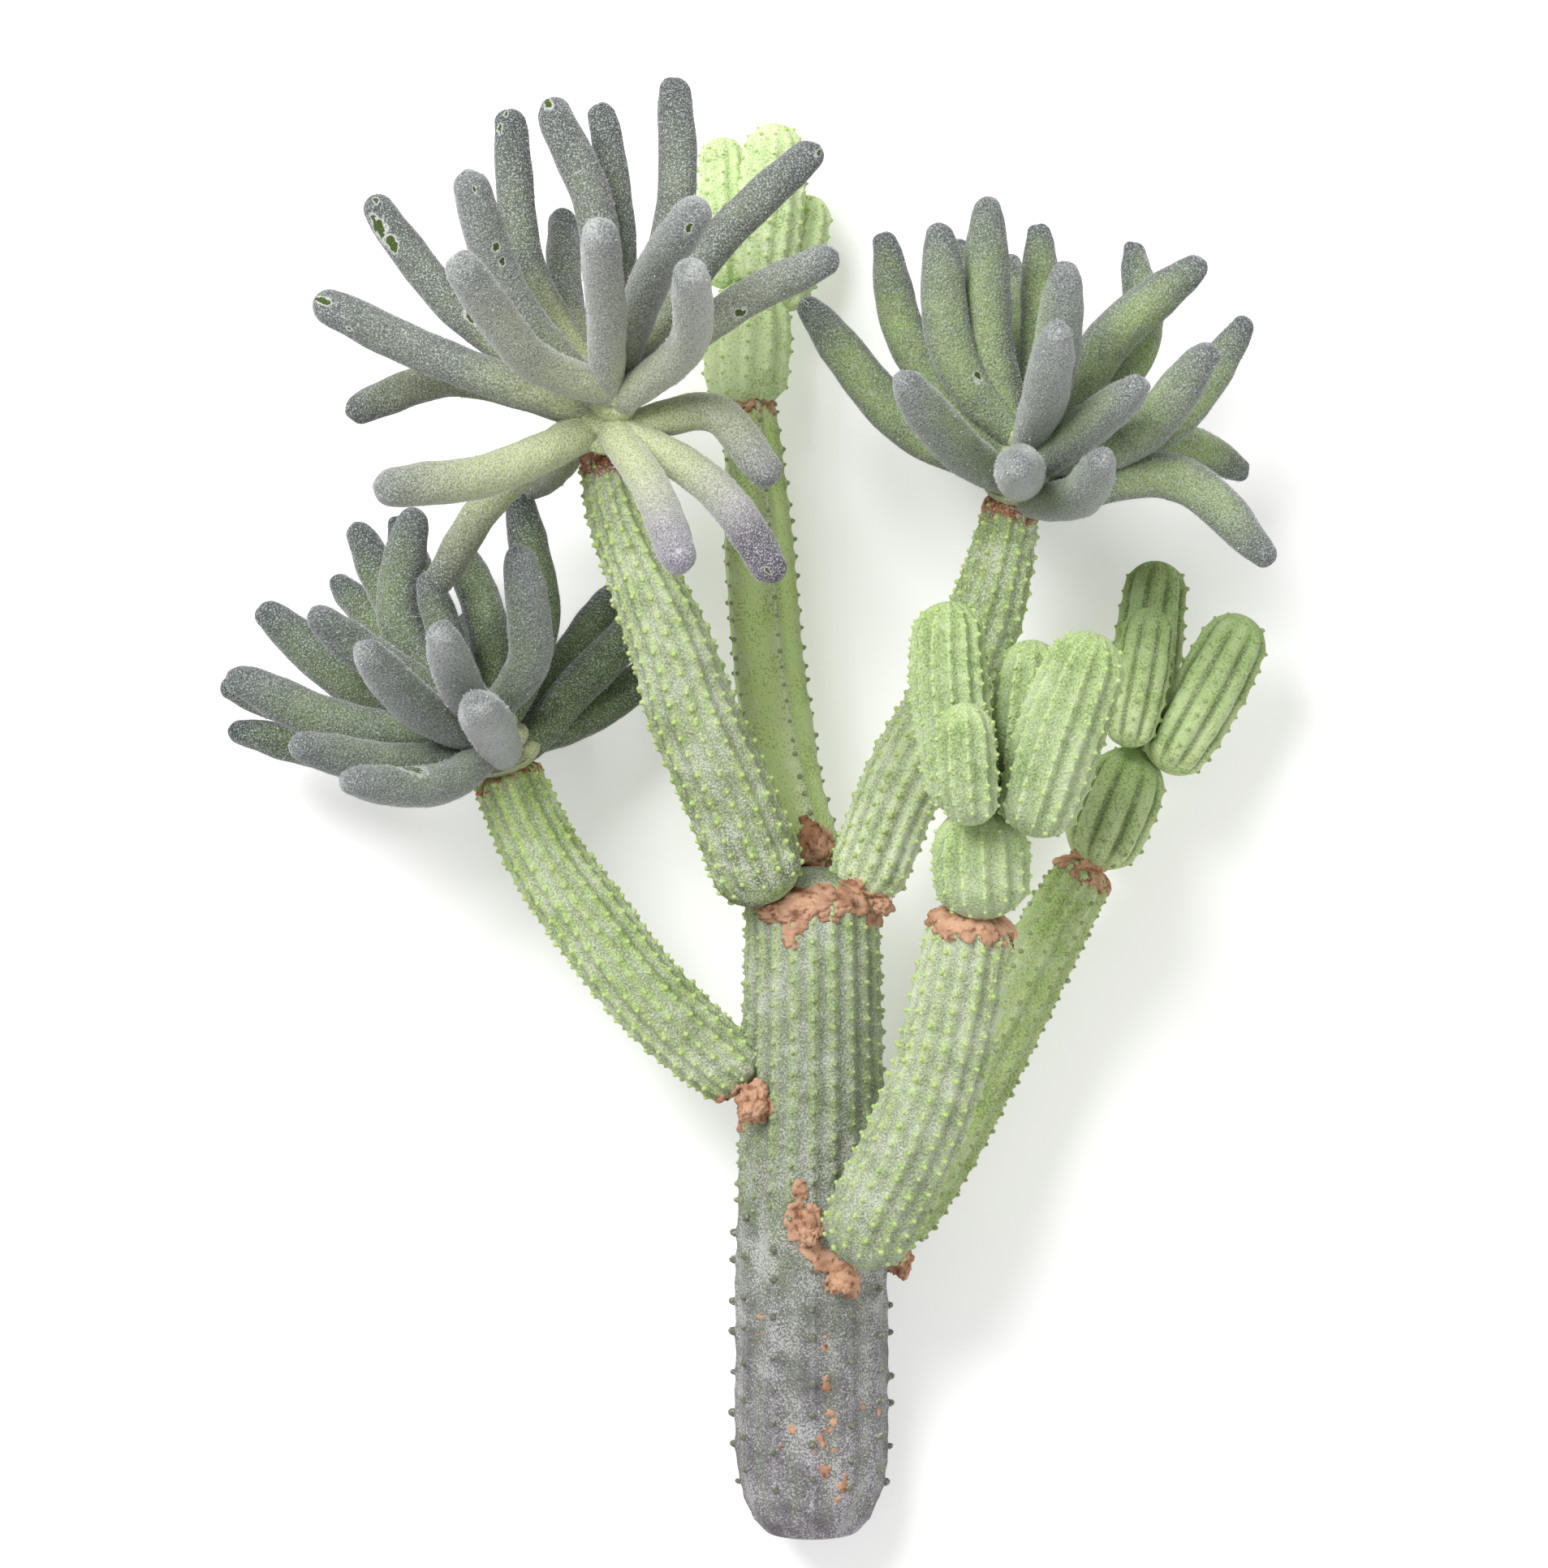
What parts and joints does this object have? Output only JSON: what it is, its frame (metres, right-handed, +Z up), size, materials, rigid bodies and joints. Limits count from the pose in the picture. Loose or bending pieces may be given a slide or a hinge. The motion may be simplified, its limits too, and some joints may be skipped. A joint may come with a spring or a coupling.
{
  "type": "artificial branched cactus",
  "caption": "Artificial branched cactus with ribbed arms, finger-leaf rosettes and small cactus clusters on a thick trunk, no pot, lying on its back.",
  "frame": {"origin": "centre of the bounding box in X and Y, on the surface that the cactus lies on", "axes": "+Y runs up the trunk towards the tall rosette, +X is to the right seen from above with the top away from the viewer, +Z is up from the surface"},
  "size_m": [0.2606, 0.3595, 0.1591],
  "materials": {
    "trunk_foam": "matt, green fading to grey-lilac at the foot, dusted with pale flock",
    "arm_foam": "matt yellow-green, dusted with pale flock, brighter tubercles",
    "segment_foam": "matt bright green with darker grooves",
    "leaf_flock": "soft grey-white flock over green, darker green at chips",
    "joint_putty": "rough matt terracotta filler"
  },
  "bodies": {
    "root": {"trunk": "trunk_foam", "arm_left": "arm_foam", "arm_tall": "arm_foam", "arm_back": "arm_foam", "arm_right": "arm_foam", "arm_low_front": "arm_foam", "arm_low_back": "arm_foam", "front_cluster_base": "segment_foam", "front_cluster_tall": "segment_foam", "front_cluster_small": "segment_foam", "front_cluster_rear": "segment_foam", "front_cluster_wide": "segment_foam", "side_cluster_base": "segment_foam", "side_cluster_top": "segment_foam", "side_cluster_front": "segment_foam", "side_cluster_outer": "segment_foam", "back_cluster_base": "segment_foam", "back_cluster_left": "segment_foam", "back_cluster_middle": "segment_foam", "back_cluster_right": "segment_foam", "putty_arm_left_foot": "joint_putty", "putty_arm_tall_foot": "joint_putty", "putty_arm_right_foot": "joint_putty", "putty_arm_back_foot": "joint_putty", "putty_arm_low_front_foot": "joint_putty", "putty_arm_low_front_heel": "joint_putty", "putty_arm_low_back_foot": "joint_putty", "putty_front_cluster": "joint_putty", "putty_side_cluster": "joint_putty", "putty_back_cluster": "joint_putty", "putty_tall_rosette": "joint_putty", "putty_right_rosette": "joint_putty", "putty_left_rosette": "joint_putty", "tall_rosette_whorl_1": "leaf_flock", "tall_rosette_whorl_2": "leaf_flock", "tall_rosette_whorl_3": "leaf_flock", "tall_rosette_whorl_4": "leaf_flock", "right_rosette_whorl_1": "leaf_flock", "right_rosette_whorl_2": "leaf_flock", "right_rosette_whorl_3": "leaf_flock", "right_rosette_whorl_4": "leaf_flock", "left_rosette_whorl_1": "leaf_flock", "left_rosette_whorl_2": "leaf_flock", "left_rosette_whorl_3": "leaf_flock", "left_rosette_whorl_4": "leaf_flock"}
  },
  "joints": []
}
